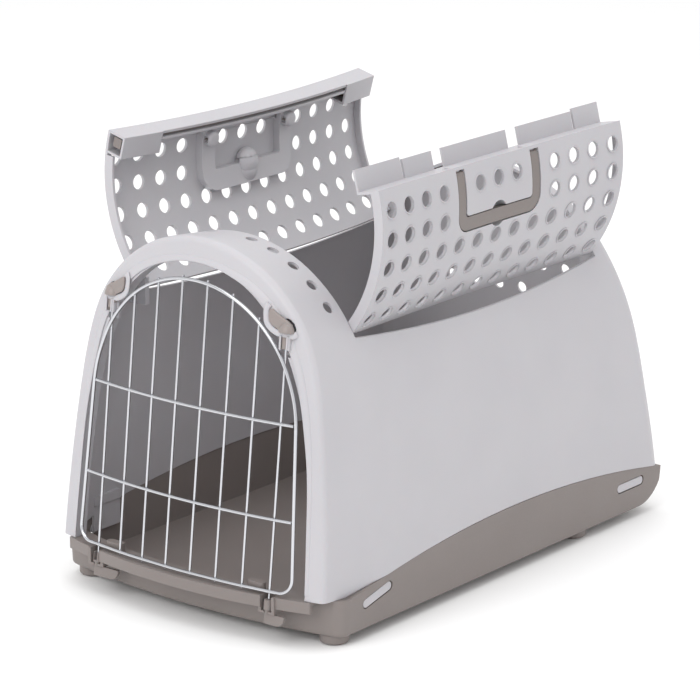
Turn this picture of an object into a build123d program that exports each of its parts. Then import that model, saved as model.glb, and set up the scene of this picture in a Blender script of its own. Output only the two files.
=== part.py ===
"""Pet carrier with a tray base, a vaulted shell, a wire front door and two perforated lids that fold
outwards from the middle of the roof. Millimetres. X is right, Y runs from the door to the rear, Z is up.
The origin is on the ground under the middle of the part, with both lids folded open."""
from build123d import *
from math import sin, cos, tan, radians, degrees, asin, sqrt
import os

os.makedirs("parts", exist_ok=True)

# The vault: one arc over the roof, running into curved side walls
vault_radius = 139.0
vault_top = 317.0
hinge_x = 118.0
hinge_inset_x, hinge_inset_z = 3.0, 0.5
side_mid_x, side_mid_z = 143.5, 188.0
side_low_x, side_low_z = 151.0, 124.0
body_half_width = 155.0
wall = 2.6

# The tray
foot_height = 8.0
foot_radius = 12.5
foot_inset = 21.0
foot_front_y, foot_rear_y = -204.0, 136.0
foot_round = 2.0
floor = 2.8
tray_edge_fillet = 4.0
seam_end_z, seam_crown_z = 41.0, 63.0
seam_front_y, seam_rear_y = -207.0, 250.0
tray_front_y, tray_rear_y = -236.0, 254.0
tray_draft = 3.0
tray_rear_bow = 5.0
front_corner_radius, rear_corner_radius = 14.0, 24.0
rear_sweep_radius = 36.0
seam_gap = 0.3

# The front face is bowed in plan and leans back
front_y = -246.0
front_z = 44.5
bow_radius = 671.0
lean = 6.43
crest_radius, crest_top = 127.0, 326.0
crest_hip_x = 104.0
crest_mid_x, crest_mid_z = 127.0, 188.0
crest_low_x, crest_low_z = 135.0, 124.0
crest_half_width = 141.0
return_depth = 14.0
front_wall, front_edge_round = 4.0, 6.5

# The doorway in the front frame
door_open_half, door_open_mid = 127.0, 122.0
door_open_mid_z = 145.0
door_open_hip_x, door_open_hip_z = 111.0, 203.0
door_open_crown_x, door_open_crown_z = 69.5, 276.0
door_open_top = 302.0

# The roof opening and the lids, whose roof line dips in the middle of its length
roof_front_y, roof_rear_y = -160.0, 183.0
saddle_dip = 10.0
edge_drop = 5.0
lid_gap = 0.6
lid_thickness = 2.4
rim_depth, rim_thickness = 9.0, 2.4
open_right, open_left = 72.0, 75.0
right_edge_x, left_edge_x = 8.0, -4.4
rear_lean = 11.0
rear_round = 18.0
lug_thickness, lug_half = 5.0, 8.0
pin_radius, pin_clearance = 1.6, 0.05
knuckle_radius = 2.5

# Holes in the lids
hole_radius = 6.6
hole_pitch_y = 26.2
hole_columns, hole_rows = 13, 5
right_grid_y, left_grid_y = 12.0, 8.0
right_first_arc, left_first_arc = 25.9, 22.5
row_pitch_arc = 25.1

# Vents in the shell
vent_radius = 5.2
vent_y = -172.5
vent_first_angle, vent_pitch_angle, vent_count = 8.9, 9.65, 5
rear_vent_low_z, rear_vent_rows, rear_vent_columns = 192.0, 2, 6

# Handles
handle_arm_width, handle_thickness = 10.0, 6.5
handle_bar_width = 12.0
handle_sink = 0.5
handle_clearance = 1.0
handle_pivot_arc, handle_low_arc = 15.0, 64.0
handle_corner_radius, handle_inner_radius = 14.0, 4.0
handle_pin_radius, handle_pin_clearance, handle_pin_recess = 2.0, 0.05, 0.4
boss_wall = 2.2
scoop_radius, scoop_wall = 11.3, 2.2
scoop_above_bar = 5.0

# The web and lips along the edge of the right lid
web_foot_x, web_thickness = 5.3, 2.4
lip_z, lip_thickness, lip_rise = 296.0, 2.2, 1.2
lip_reach, block_reach = 15.8, 18.0
lip_spans = [(-90.0, -48.0), (-33.0, 57.0), (73.0, 146.0)]
front_block_end, rear_block_start = -93.0, 149.0

# The rail, its covers and the lock bar along the edge of the left lid
rail_wall, rail_slot = 2.4, 3.6
rail_foot_z = 299.0
cover_width, cover_wall, cover_rim_gap = 20.0, 2.0, 2.5
cover_front_end, cover_rear_start = -115.0, 138.0
cover_foot_z = 297.9
bar_thickness, bar_height, bar_side_gap, bar_floor_gap = 2.4, 7.5, 0.6, 0.95
bar_end_width = 9.0
bar_travel = 6.0

# Tray: windows for the shell's snaps, sill and its lugs
sill_front_y, sill_bow_radius, sill_half = -254.0, 470.0, 133.0
sill_top, sill_thickness, lip_height, sill_lip_thickness = 41.0, 3.0, 10.0, 3.0
sill_depth = 21.0
notch_width, notch_wall, notch_drop, notch_depth = 11.0, 3.0, 5.0, 13.0
notch_floor = 2.0
lug_x, lug_width, lug_height, lug_depth = 78.0, 18.0, 8.0, 7.0
window_height = 9.5
front_window_y, front_window_z, front_window_length, front_window_slope = -171.0, 35.0, 40.0, 13.0
rear_window_y, rear_window_z, rear_window_length = 199.5, 35.0, 42.0
snap_thickness, snap_gap, snap_root = 2.2, 0.6, 10.0
snap_play = 1.0

# The wire door
pitch = 27.0
wire_count = 8
frame_wire_radius, upright_radius, bar_radius = 1.5, 1.1, 1.3
weld = 0.1
frame_low_half, frame_low_z = 117.0, 44.5
frame_arch_radius, frame_arch_z = 109.5, 178.5
frame_corner_radius = 13.0
arch_corners = 8
lower_bar_z, upper_bar_z = 104.6, 183.9
upright_overrun = 2.5
upper_pin_z, lower_pin_z = 248.0, 31.0

# Latches
hub_radius, hub_bore_gap = 4.2, 0.15
upper_hub_z, upper_hub_height = 245.6, 9.5
lower_hub_height = 8.4
hub_end_gap = 0.4
hub_floor_gap = 0.9
lever_back = 0.8
stem_radius = 3.2
latch_plate = 2.6
upper_lever_x, upper_lever_z = 17.0, 27.0
lever_root_radius, lever_tip_radius = 3.1, 4.5
lower_lever_right, lower_lever_left = 17.5, 24.0
lower_lever_drop = 9.0
pocket_gap, pocket_wall, pocket_rise = 0.8, 2.2, 4.5

foot_x = body_half_width - foot_inset
lean_tan = tan(radians(lean))
vault_z = vault_top - vault_radius
hinge_z = vault_z + sqrt(vault_radius ** 2 - hinge_x ** 2)
axis_x, axis_z = hinge_x - hinge_inset_x, hinge_z - hinge_inset_z
hinge_angle = degrees(asin(hinge_x / vault_radius))
pin_x = pitch * (wire_count - 1) / 2
frame_forward = frame_wire_radius + upright_radius - weld
bar_forward = bar_radius + upright_radius - weld


def front_surface(x, z):
    """Y of the bowed, leaning front surface."""
    return front_y + bow_radius - sqrt(bow_radius ** 2 - x * x) + (z - front_z) * lean_tan


def vault_outline(radius, top, hip_x, mid, low, half_width, inset=0.0, bottom=20.0):
    """Closed arch: an arc over the top and a curved wall on each side, moved inwards by inset."""
    r = radius - inset
    zc = top - radius
    hip = (hip_x * r / radius, zc + r * sqrt(1 - (hip_x / radius) ** 2))
    tangent = (hip[1] - zc, -hip[0])
    pts = [hip, (mid[0] - inset, mid[1]), (low[0] - inset, low[1]), (half_width - inset, bottom)]
    with BuildLine() as outline:
        ThreePointArc((-hip[0], hip[1]), (0, zc + r), hip)
        Spline(*pts, tangents=[tangent, (0, -1)])
        Line(pts[-1], (-pts[-1][0], bottom))
        Spline(*[(-x, z) for x, z in reversed(pts)], tangents=[(0, 1), (tangent[0], -tangent[1])])
    return outline.line


def body_outline(inset=0.0):
    return vault_outline(vault_radius, vault_top, hinge_x, (side_mid_x, side_mid_z),
                         (side_low_x, side_low_z), body_half_width, inset)


def crest_outline(inset=0.0):
    return vault_outline(crest_radius, crest_top, crest_hip_x, (crest_mid_x, crest_mid_z),
                         (crest_low_x, crest_low_z), crest_half_width, inset)


def upright_plane(y):
    """Plane across the length at y: local X is right and local Y is up."""
    return Plane(origin=(0, y, 0), x_dir=(1, 0, 0), z_dir=(0, -1, 0))


def leaning_plane(y0):
    """Plane across the front, leaning back with the door, through y0 at the door's foot."""
    return Plane(origin=(0, y0 - front_z * lean_tan, 0), x_dir=(1, 0, 0),
                 z_dir=(0, -cos(radians(lean)), sin(radians(lean))))


def slab(y0, y1):
    """All of space between two stations along the length."""
    with BuildPart(Plane.XZ.offset(-y0)) as block:
        Box(700, 1200, y1 - y0, align=(Align.CENTER, Align.CENTER, Align.MAX))
    return block.part


def vault_solid(inset=0.0):
    """The roof and walls as one closed block, from in front of the door to the leaning rear wall."""
    with BuildPart() as block:
        with BuildSketch(upright_plane(roof_front_y)):
            make_face(body_outline(inset))
        with BuildSketch(leaning_plane(front_y - 6)):
            make_face(crest_outline(inset))
        loft()
        with BuildSketch(upright_plane(roof_front_y)):
            make_face(body_outline(inset))
        extrude(amount=tray_rear_y + 20 - roof_front_y, dir=(0, 1, 0))
        add(rear_envelope(inset), mode=Mode.INTERSECT)
        back = block.edges().filter_by(lambda e: e.center().Y > 150 and e.center().Z > 200)
        fillet(back.filter_by(lambda e: e.bounding_box().size.X > 60), rear_round - inset)
    return block.part


def plan_outline(inset=0.0, front=tray_front_y):
    """Plan of the tray: bowed front, straight sides, rounded corners, slightly bowed rear."""
    w = body_half_width - inset
    yf = front + inset
    yr = tray_rear_y - inset
    corner = yf + w * w / (2 * bow_radius)
    with BuildLine() as outline:
        ThreePointArc((-w, corner), (0, yf), (w, corner))
        Line((w, corner), (w, yr - tray_rear_bow))
        ThreePointArc((w, yr - tray_rear_bow), (0, yr), (-w, yr - tray_rear_bow))
        Line((-w, yr - tray_rear_bow), (-w, corner))
    return outline.line


def plan_face(inset=0.0, front=tray_front_y):
    with BuildSketch() as plan:
        make_face(plan_outline(inset, front))
        corners = plan.vertices().sort_by(Axis.Y)
        fillet(corners[:2], front_corner_radius - min(inset, 4))
        fillet(corners[2:], rear_corner_radius - inset)
    return plan.sketch


def seam_height(y):
    """Height of the arched seam at a station along the length."""
    half, rise = (seam_rear_y - seam_front_y) / 2, seam_crown_z - seam_end_z
    radius = (half ** 2 + rise ** 2) / (2 * rise)
    return seam_crown_z - radius + sqrt(radius ** 2 - (y - (seam_front_y + seam_rear_y) / 2) ** 2)


def above_seam(extra=0.0):
    """Everything above the seam between tray and shell."""
    with BuildPart() as block:
        with BuildSketch(Plane.YZ.offset(-200)):
            with BuildLine():
                a, b = (seam_front_y, seam_end_z + extra), (seam_rear_y, seam_end_z + extra)
                ThreePointArc(a, ((a[0] + b[0]) / 2, seam_crown_z + extra), b)
                Polyline(b, (320, b[1]), (320, 480), (-320, 480), (-320, a[1]), a)
            make_face()
        extrude(amount=400)
    return block.part


def front_of_door(offset_y=0.0):
    """Everything in front of the bowed, leaning front surface moved back by offset_y."""
    z0 = -20.0
    y0 = front_y + offset_y + (z0 - front_z) * lean_tan
    w = 230.0
    with BuildPart() as block:
        with BuildSketch(Plane.XY.offset(z0)):
            with BuildLine():
                sag = bow_radius - sqrt(bow_radius ** 2 - w * w)
                ThreePointArc((-w, y0 + sag), (0, y0), (w, y0 + sag))
                Polyline((w, y0 + sag), (w, y0 - 120), (-w, y0 - 120), (-w, y0 + sag))
            make_face()
        extrude(amount=480, dir=(0, lean_tan, 1))
    return block.part


def rear_envelope(inset=0.0):
    """Plan outline drawn up along the leaning rear wall, open towards the front."""
    with BuildPart() as block:
        with BuildSketch(Plane.XY.offset(seam_end_z)):
            add(plan_face(inset, -400.0))
        extrude(amount=420, dir=(0, -tan(radians(rear_lean)), 1))
        extrude(block.faces().sort_by(Axis.Z)[0], amount=60, dir=(0, 0, -1))
    return block.part


def doorway_outline(grow=0.0):
    """Arched doorway in the front frame."""
    hip = (door_open_hip_x + grow, door_open_hip_z)
    mid = (door_open_mid + grow, door_open_mid_z)
    foot = (door_open_half + grow, seam_end_z)
    low = (foot[0], seam_end_z - 40)
    crown = (door_open_crown_x + grow * 0.5, door_open_crown_z + grow * 0.8)
    top = (0, door_open_top + grow)
    right = [low, foot, mid, hip, crown, top]
    left = [(-x, z) for x, z in right]
    with BuildLine() as outline:
        Line(left[0], low)
        Line(low, foot)
        Spline(foot, mid, hip, tangents=[(0, 1), (-0.3, 0.95)])
        Spline(hip, crown, top, tangents=[(-0.3, 0.95), (-1, 0)])
        Spline(left[5], left[4], left[3], tangents=[(-1, 0), (-0.3, -0.95)])
        Spline(left[3], left[2], left[1], tangents=[(-0.3, -0.95), (0, -1)])
        Line(left[1], left[0])
    return outline.line


def roof_opening():
    """Cutter for the roof opening: straight ends, and side edges that dip in the middle."""
    z = hinge_z - edge_drop
    a, b = (roof_front_y, z), (roof_rear_y, z)
    with BuildPart() as block:
        with BuildSketch(Plane.YZ.offset(-200)):
            with BuildLine():
                ThreePointArc(a, ((a[0] + b[0]) / 2, z - saddle_dip), b)
                Polyline(b, (b[0], 400), (a[0], 400), a)
            make_face()
        extrude(amount=400)
    return block.part


def frame_slab(depth):
    """The layer of space between the front surface and the same surface moved back by depth."""
    return front_of_door(depth) - front_of_door()


def pin_plane(x, z, forward=0.0):
    """Plane across a door pin: local Z runs up along the leaning pin and local Y points to the rear."""
    return Plane(origin=(x, front_surface(x, z) - forward, z), x_dir=(1, 0, 0),
                 z_dir=(0, sin(radians(lean)), cos(radians(lean))))


def pocket(side, grow, low, high):
    """Round pocket that holds an upper latch's hub."""
    with BuildPart(pin_plane(side * pin_x, low)) as block:
        Cylinder(hub_radius + grow, (high - low) / cos(radians(lean)),
                 align=(Align.CENTER, Align.CENTER, Align.MIN))
    return block.part


def snap(side, y, z, length, slope):
    """Tab that hangs inside the tray wall, with a pill that shows in the tray's window."""
    inner = body_half_width - tray_draft / 2 - wall - snap_gap
    seam_z = max(seam_height(y - length / 2), seam_height(y + length / 2)) + seam_gap
    low, high = z - window_height / 2 - snap_play, seam_z + snap_root
    with BuildPart() as tab:
        with BuildSketch(Plane.YZ.offset(side * inner)):
            with Locations((y, z)):
                SlotOverall(length - 2 * snap_play, window_height - 2 * snap_play, rotation=slope)
        extrude(amount=side * wall)
        with BuildSketch(Plane.YZ.offset(side * inner)):
            with Locations((y, (low + high) / 2)):
                Rectangle(length - 6 * snap_play, high - low)
        extrude(amount=-side * snap_thickness)
        with Locations((side * inner, y, high)):
            Box(2 * snap_thickness + wall, length - 6 * snap_play, snap_root - 2 * snap_play,
                align=(Align.CENTER, Align.CENTER, Align.MAX))
    return tab.part


with BuildPart() as upper_shell:
    add(vault_solid())
    add(front_of_door(), mode=Mode.SUBTRACT)
    front = upper_shell.faces().filter_by(lambda f: f.center().Y < roof_front_y - 40).sort_by(SortBy.AREA)[-1]
    fillet(front.edges().filter_by(lambda e: e.center().Z > seam_end_z), front_edge_round)
    add(vault_solid(wall) - front_of_door(front_wall), mode=Mode.SUBTRACT)
    with BuildSketch(upright_plane(roof_front_y - 30)):
        make_face(doorway_outline(wall))
    ring = extrude(amount=90, mode=Mode.PRIVATE).intersect(frame_slab(return_depth))
    add(ring)
    with BuildSketch(upright_plane(roof_front_y - 30)):
        make_face(doorway_outline())
    extrude(amount=90, mode=Mode.SUBTRACT)
    for side in (-1, 1):
        add(pocket(side, pocket_gap + pocket_wall, upper_hub_z - 6,
                   upper_hub_z + upper_hub_height + pocket_rise + pocket_wall)
            - front_of_door())
        add(pocket(side, pocket_gap, upper_hub_z - 7, upper_hub_z + upper_hub_height + pocket_rise),
            mode=Mode.SUBTRACT)
        add(pocket(side, -hub_radius + upright_radius + pocket_gap, upper_hub_z - 25, upper_hub_z),
            mode=Mode.SUBTRACT)
    lug_room = vault_solid(wall / 2)
    for x in (-axis_x, axis_x):
        for y in (roof_front_y - lug_thickness / 2, roof_rear_y + lug_thickness / 2):
            with BuildPart(mode=Mode.PRIVATE) as lug:
                with Locations((x, y, axis_z - 2)):
                    Box(2 * lug_half + 6, lug_thickness, 2 * lug_half + 8)
                add(lug_room, mode=Mode.INTERSECT)
            add(lug.part)
    add(roof_opening(), mode=Mode.SUBTRACT)
    for x in (-axis_x, axis_x):
        for y in (roof_front_y, roof_rear_y):
            with Locations(Plane(origin=(x, y, axis_z), z_dir=(0, 1, 0))):
                Cylinder(pin_radius + pin_clearance, 2 * lug_thickness + 4, mode=Mode.SUBTRACT)
    for side in (-1, 1):
        for i in range(vent_count):
            a = radians(vent_first_angle + i * vent_pitch_angle)
            with Locations(Plane(origin=(side * vault_radius * sin(a), vent_y, vault_z + vault_radius * cos(a)),
                                 z_dir=(side * sin(a), 0, cos(a)))):
                Cylinder(vent_radius, 20, mode=Mode.SUBTRACT)
    for row in range(rear_vent_rows):
        z = rear_vent_low_z + row * hole_pitch_y
        y = tray_rear_y - (z - seam_end_z) * tan(radians(rear_lean))
        with Locations(Plane(origin=(0, y, z), x_dir=(1, 0, 0), z_dir=(0, 1, 0))):
            with GridLocations(hole_pitch_y, 1, rear_vent_columns, 1):
                Cylinder(vent_radius, 30, mode=Mode.SUBTRACT)
    add(above_seam(seam_gap), mode=Mode.INTERSECT)
    for side in (-1, 1):
        add(snap(side, front_window_y, front_window_z, front_window_length, front_window_slope))
        add(snap(side, rear_window_y, rear_window_z, rear_window_length, 0))
upper_shell.part.label = "upper_shell"
export_step(upper_shell.part, "parts/upper_shell.step")


def sill_arc_y(x, back=0.0):
    return sill_front_y + back + sill_bow_radius - sqrt(sill_bow_radius ** 2 - x * x)


def sill_face(x_half, back_near, back_far):
    """Curved strip in plan, between two depths behind the sill's front edge."""
    with BuildSketch() as strip:
        with BuildLine():
            near = [(x, sill_arc_y(x, back_near)) for x in (-x_half, 0, x_half)]
            far = [(x, sill_arc_y(x, back_far)) for x in (-x_half, 0, x_half)]
            ThreePointArc(*near)
            Line(near[2], far[2])
            ThreePointArc(*reversed(far))
            Line(far[0], near[0])
        make_face()
    return strip.sketch


def tray_block(inset=0.0, z0=foot_height):
    """Tapering block of the tray with its swept-up rear."""
    with BuildPart() as block:
        with BuildSketch(Plane.XY.offset(z0)):
            add(plan_face(inset + tray_draft))
        with BuildSketch(Plane.XY.offset(seam_crown_z + 2)):
            add(plan_face(inset))
        loft()
        r = rear_sweep_radius - inset
        yr = tray_rear_y - inset
        with BuildSketch(Plane.YZ.offset(-200)):
            with BuildLine():
                ThreePointArc((yr - r, z0), (yr - r + r * sin(radians(45)), z0 + r - r * cos(radians(45))),
                              (yr, z0 + r))
                Polyline((yr, z0 + r), (yr + 30, z0 + r), (yr + 30, z0 - 20), (yr - r, z0 - 20), (yr - r, z0))
            make_face()
        extrude(amount=400, mode=Mode.SUBTRACT)
    return block.part


notch_z = sill_top - (lip_height + notch_drop) / 2

with BuildPart() as base_tray:
    add(tray_block())
    fillet(base_tray.edges().group_by(Axis.Z)[0].filter_by(lambda e: e.center().Y < 180), tray_edge_fillet)
    add(tray_block(wall, foot_height + floor), mode=Mode.SUBTRACT)
    add(above_seam(), mode=Mode.SUBTRACT)
    with BuildSketch(Plane.XY.offset(sill_top - lip_height)):
        add(sill_face(sill_half, 0, sill_lip_thickness))
    extrude(amount=lip_height)
    with BuildSketch(Plane.XY.offset(sill_top - sill_thickness)):
        add(sill_face(sill_half, sill_lip_thickness / 2, sill_depth))
    extrude(amount=sill_thickness)
    for x in (-pin_x, pin_x):
        y = sill_arc_y(x)
        with Locations((x, y + notch_depth / 2, notch_z)):
            Box(notch_width + 2 * notch_wall, notch_depth, lip_height + notch_drop)
        with Locations((x, y + notch_depth / 2 - notch_wall, notch_z + notch_floor)):
            Box(notch_width, notch_depth, lip_height + notch_drop, mode=Mode.SUBTRACT)
        with Locations(pin_plane(x, notch_z)):
            Cylinder(stem_radius + hub_end_gap, 2 * lip_height + notch_drop, mode=Mode.SUBTRACT)
    for x in (-lug_x, lug_x):
        with BuildSketch(Plane.XY.offset(sill_top - 1)):
            with Locations((x, front_surface(x, front_z) + upright_radius + 0.6 + lug_depth / 2)):
                RectangleRounded(lug_width, lug_depth, lug_depth / 2 - 0.1)
        extrude(amount=lug_height + 1)
    for y, z, length, slope in ((front_window_y, front_window_z, front_window_length, front_window_slope),
                                (rear_window_y, rear_window_z, rear_window_length, 0)):
        with BuildSketch(Plane.YZ.offset(-200)):
            with Locations((y, z)):
                SlotOverall(length, window_height, rotation=slope)
        extrude(amount=400, mode=Mode.SUBTRACT)
base_tray.part.label = "base_tray"
export_step(base_tray.part, "parts/base_tray.step")

for name, x, y in (("foot_front_left", -foot_x, foot_front_y), ("foot_front_right", foot_x, foot_front_y),
                   ("foot_rear_left", -foot_x, foot_rear_y), ("foot_rear_right", foot_x, foot_rear_y)):
    with BuildPart() as foot:
        with BuildSketch(Plane(origin=(x, y, 0))):
            Circle(foot_radius)
        extrude(amount=foot_height)
        fillet(foot.edges().sort_by(Axis.Z)[0], foot_round)
    foot.part.label = name
    export_step(foot.part, "parts/" + name + ".step")

# The lids are drawn closed, on the right-hand side, then mirrored and swung open.
# Their section keeps its shape while it follows the saddle of the roof.
lid_mid_y = (roof_front_y + roof_rear_y) / 2
lid_half = (roof_rear_y - roof_front_y) / 2
saddle_radius = (lid_half ** 2 + saddle_dip ** 2) / (2 * saddle_dip)
saddle_z = vault_top - saddle_dip + saddle_radius
saddle_half_angle = degrees(asin(lid_half / saddle_radius)) + 0.9
saddle_axis = Axis((0, lid_mid_y, saddle_z), (1, 0, 0))
lid_front_y, lid_rear_y = roof_front_y + lid_gap, roof_rear_y - lid_gap


def saddle_height(z, y):
    """Height, at station y, of a point that the section shows at z."""
    return saddle_z - sqrt((saddle_z + saddle_dip - z) ** 2 - (y - lid_mid_y) ** 2)


def saddle_sweep(section):
    """A section in closed-lid coordinates, swept along the saddle of the roof."""
    a = radians(-saddle_half_angle)
    reach = saddle_z + saddle_dip
    start = Plane(origin=(0, lid_mid_y + reach * sin(a), saddle_z - reach * cos(a)), x_dir=(1, 0, 0),
                  z_dir=(0, -cos(a), -sin(a)))
    with BuildPart() as block:
        with BuildSketch(start):
            add(section)
        revolve(axis=saddle_axis, revolution_arc=2 * saddle_half_angle)
    return block.part


def vault_point(r, angle):
    """Point of the section at a radius and an angle from the top of the vault."""
    return (r * sin(radians(angle)), vault_z + r * cos(radians(angle)))


def ring_sector(outer, inner, start, end):
    """Section between two radii of the vault and two angles from its top."""
    with BuildSketch() as sector:
        with BuildLine():
            far = ThreePointArc(*[vault_point(outer, a) for a in (start, (start + end) / 2, end)])
            near = ThreePointArc(*[vault_point(inner, a) for a in (start, (start + end) / 2, end)])
            Line(far @ 0, near @ 0)
            Line(far @ 1, near @ 1)
        make_face()
    return sector.sketch


def polygon(*points):
    with BuildSketch() as face:
        with BuildLine():
            Polyline(*points, close=True)
        make_face()
    return face.sketch


def angle_at(x, r=vault_radius):
    return degrees(asin(x / r))


def arc_angle(arc):
    return degrees(arc / vault_radius)


def skin_plane(arc, y, depth=0.0):
    """Plane on the lid's skin: local X runs to the rear and local Y towards the middle of the roof."""
    a = radians(arc_angle(arc))
    x, z = (vault_radius - depth) * sin(a), vault_z + (vault_radius - depth) * cos(a)
    return Plane(origin=(x, y, saddle_height(z, y)), x_dir=(0, 1, 0), z_dir=(sin(a), 0, cos(a)))


handle_mid_arc = (handle_pivot_arc + handle_low_arc) / 2
handle_half = 2 * hole_pitch_y
barrel_radius = handle_thickness / 2


def handle_shape(grow, top_arc):
    """Outline of the U-shaped handle on the skin, grown all round by grow."""
    width = 2 * (handle_half + handle_arm_width / 2 + grow)
    low = handle_mid_arc - handle_low_arc - grow
    high = handle_mid_arc - top_arc + grow
    inner_low = low + handle_bar_width + 2 * grow
    with BuildSketch() as shape:
        with Locations((0, (low + high) / 2)):
            Rectangle(width, high - low)
        fillet(shape.vertices().group_by(Axis.Y)[0], handle_corner_radius + grow)
        with BuildSketch(mode=Mode.SUBTRACT) as gap:
            with Locations((0, (inner_low + high + 10) / 2)):
                Rectangle(width - 2 * (handle_arm_width + 2 * grow), high + 10 - inner_low)
            fillet(gap.vertices().group_by(Axis.Y)[0], handle_inner_radius - grow * 0.5)
    return shape.sketch


def handle_prism(grow, top_arc, y):
    with BuildPart() as prism:
        with BuildSketch(skin_plane(handle_mid_arc, y)):
            add(handle_shape(grow, top_arc))
        extrude(amount=25, both=True)
    return prism.part


def pivot_plane(y):
    """Plane across the handle's pivot, with its normal along the length."""
    spot = skin_plane(handle_pivot_arc, y + handle_half, handle_sink + barrel_radius).origin
    return Plane(origin=(spot.X, y, spot.Z), x_dir=(1, 0, 0), z_dir=(0, 1, 0))


def grid_spots(first_arc, y):
    """Places of the lid's holes; the handle takes the place of some in the upper two rows."""
    spots = []
    for row in range(hole_rows):
        for column in range(hole_columns):
            k = column - (hole_columns - 1) / 2
            taken = abs(k) == 2 if row == 0 else abs(k) <= 2 and row == 1
            if not taken:
                spots.append(skin_plane(first_arc + row * row_pitch_arc, y + k * hole_pitch_y))
    return spots


def lid_skin(edge_x, rim_x):
    """Skin with its end rims and hinge pins, closed, on the right-hand side."""
    edge, end = angle_at(edge_x), hinge_angle - degrees(lid_gap / vault_radius)
    inner = (vault_radius - lid_thickness, vault_radius - rim_depth - 3)
    with BuildPart() as lid:
        add(saddle_sweep(ring_sector(vault_radius, vault_radius - rim_depth, edge, end))
            & slab(lid_front_y, lid_rear_y))
        add(saddle_sweep(ring_sector(*inner, edge - 3, end + 3))
            & slab(lid_front_y + rim_thickness, lid_rear_y - rim_thickness), mode=Mode.SUBTRACT)
        if rim_x > edge_x:
            add(saddle_sweep(ring_sector(*inner, edge - 3, angle_at(rim_x))), mode=Mode.SUBTRACT)
        for y, way in ((lid_front_y, -1), (lid_rear_y, 1)):
            with BuildSketch(Plane(origin=(axis_x, y, axis_z), x_dir=(1, 0, 0), z_dir=(0, way, 0))):
                Circle(knuckle_radius)
            extrude(amount=-rim_thickness)
            with BuildSketch(Plane(origin=(axis_x, y, axis_z), x_dir=(1, 0, 0), z_dir=(0, way, 0))):
                Circle(pin_radius)
            extrude(amount=lug_thickness)
    return lid.part


def lid_with_handle_seat(skin, first_arc, y):
    """The skin with its holes and the sunk seat of the handle."""
    top = handle_pivot_arc - barrel_radius
    scoop_arc = handle_low_arc - handle_bar_width + scoop_above_bar
    grown = handle_clearance + boss_wall
    ring = ring_sector(vault_radius - lid_thickness / 2, vault_radius - handle_thickness - handle_sink - 2.8,
                       0, arc_angle(handle_low_arc + 20))
    hollow = ring_sector(vault_radius + 3, vault_radius - handle_thickness - handle_sink - 0.6,
                         0, arc_angle(handle_low_arc + 20))
    with BuildPart() as lid:
        add(skin)
        add(handle_prism(grown, top, y) & saddle_sweep(ring))
        with Locations(skin_plane(scoop_arc, y, lid_thickness / 2)):
            Sphere(scoop_radius + scoop_wall, arc_size1=-90, arc_size2=0,
                   align=(Align.CENTER, Align.CENTER, Align.MAX))
        add(handle_prism(handle_clearance, top, y) & saddle_sweep(hollow), mode=Mode.SUBTRACT)
        with Locations(skin_plane(scoop_arc, y, lid_thickness / 2)):
            Sphere(scoop_radius, mode=Mode.SUBTRACT)
        with Locations(pivot_plane(y)):
            Cylinder(handle_pin_radius + handle_pin_clearance,
                     2 * handle_half + handle_arm_width + 2 * grown + 1, mode=Mode.SUBTRACT)
        with Locations(*grid_spots(first_arc, y)):
            Cylinder(hole_radius, 12, mode=Mode.SUBTRACT)
    return lid.part


def closed_handle(y):
    """U-shaped handle lying in its seat, with a barrel and a pin on each arm."""
    ring = ring_sector(vault_radius - handle_sink, vault_radius - handle_sink - handle_thickness,
                       arc_angle(handle_pivot_arc), arc_angle(handle_low_arc + 10))
    with BuildPart() as handle:
        add(handle_prism(0, handle_pivot_arc - 3, y) & saddle_sweep(ring))
        for way in (-1, 1):
            with Locations(pivot_plane(y).offset(way * handle_half)):
                Cylinder(barrel_radius, handle_arm_width)
            with Locations(pivot_plane(y).offset(way * (handle_half + handle_arm_width / 2))):
                Cylinder(handle_pin_radius, 2 * (handle_clearance + boss_wall - handle_pin_recess))
    return handle.part


def opened(part, side):
    """The closed piece brought to its side and swung open about the lid's hinge."""
    if side < 0:
        part = part.mirror(Plane.YZ)
    angle = open_right if side > 0 else open_left
    return part.rotate(Axis((side * axis_x, 0, axis_z), (0, side, 0)), angle)


def finish(part, name):
    part.label = name
    export_step(part, "parts/" + name + ".step")


edge_z = vault_point(vault_radius - lid_thickness / 2, angle_at(right_edge_x))[1]
with BuildPart() as closed_right_lid:
    add(lid_with_handle_seat(lid_skin(right_edge_x, right_edge_x), right_first_arc, right_grid_y))
    add(saddle_sweep(polygon((right_edge_x, edge_z), (web_foot_x, lip_z - lip_thickness),
                             (web_foot_x + web_thickness, lip_z - lip_thickness),
                             (right_edge_x + web_thickness, edge_z))) & slab(lid_front_y, lid_rear_y))
    for spans, reach in ((lip_spans, lip_reach),
                         ([(lid_front_y, front_block_end), (rear_block_start, lid_rear_y)], block_reach)):
        tip = web_foot_x - reach
        root = web_foot_x + web_thickness * 0.7
        lip = saddle_sweep(polygon((root, lip_z), (tip, lip_z + lip_rise), (tip, lip_z + lip_rise - lip_thickness),
                                   (root, lip_z - lip_thickness)))
        for span in spans:
            add(lip & slab(*span))

finish(opened(closed_right_lid.part, 1), "right_lid")
finish(opened(closed_handle(right_grid_y), 1), "right_handle")

cover_end_x = left_edge_x + cover_width
finish(opened(lid_with_handle_seat(lid_skin(left_edge_x, cover_end_x + cover_rim_gap), left_first_arc, left_grid_y), -1),
       "left_lid")
finish(opened(closed_handle(left_grid_y), -1), "left_handle")


def under_skin(x0, x1, drop):
    """Strip of section just under the lid's skin."""
    r = vault_radius - lid_thickness
    return ring_sector(r, r - drop, angle_at(x0, r), angle_at(x1, r))


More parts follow.
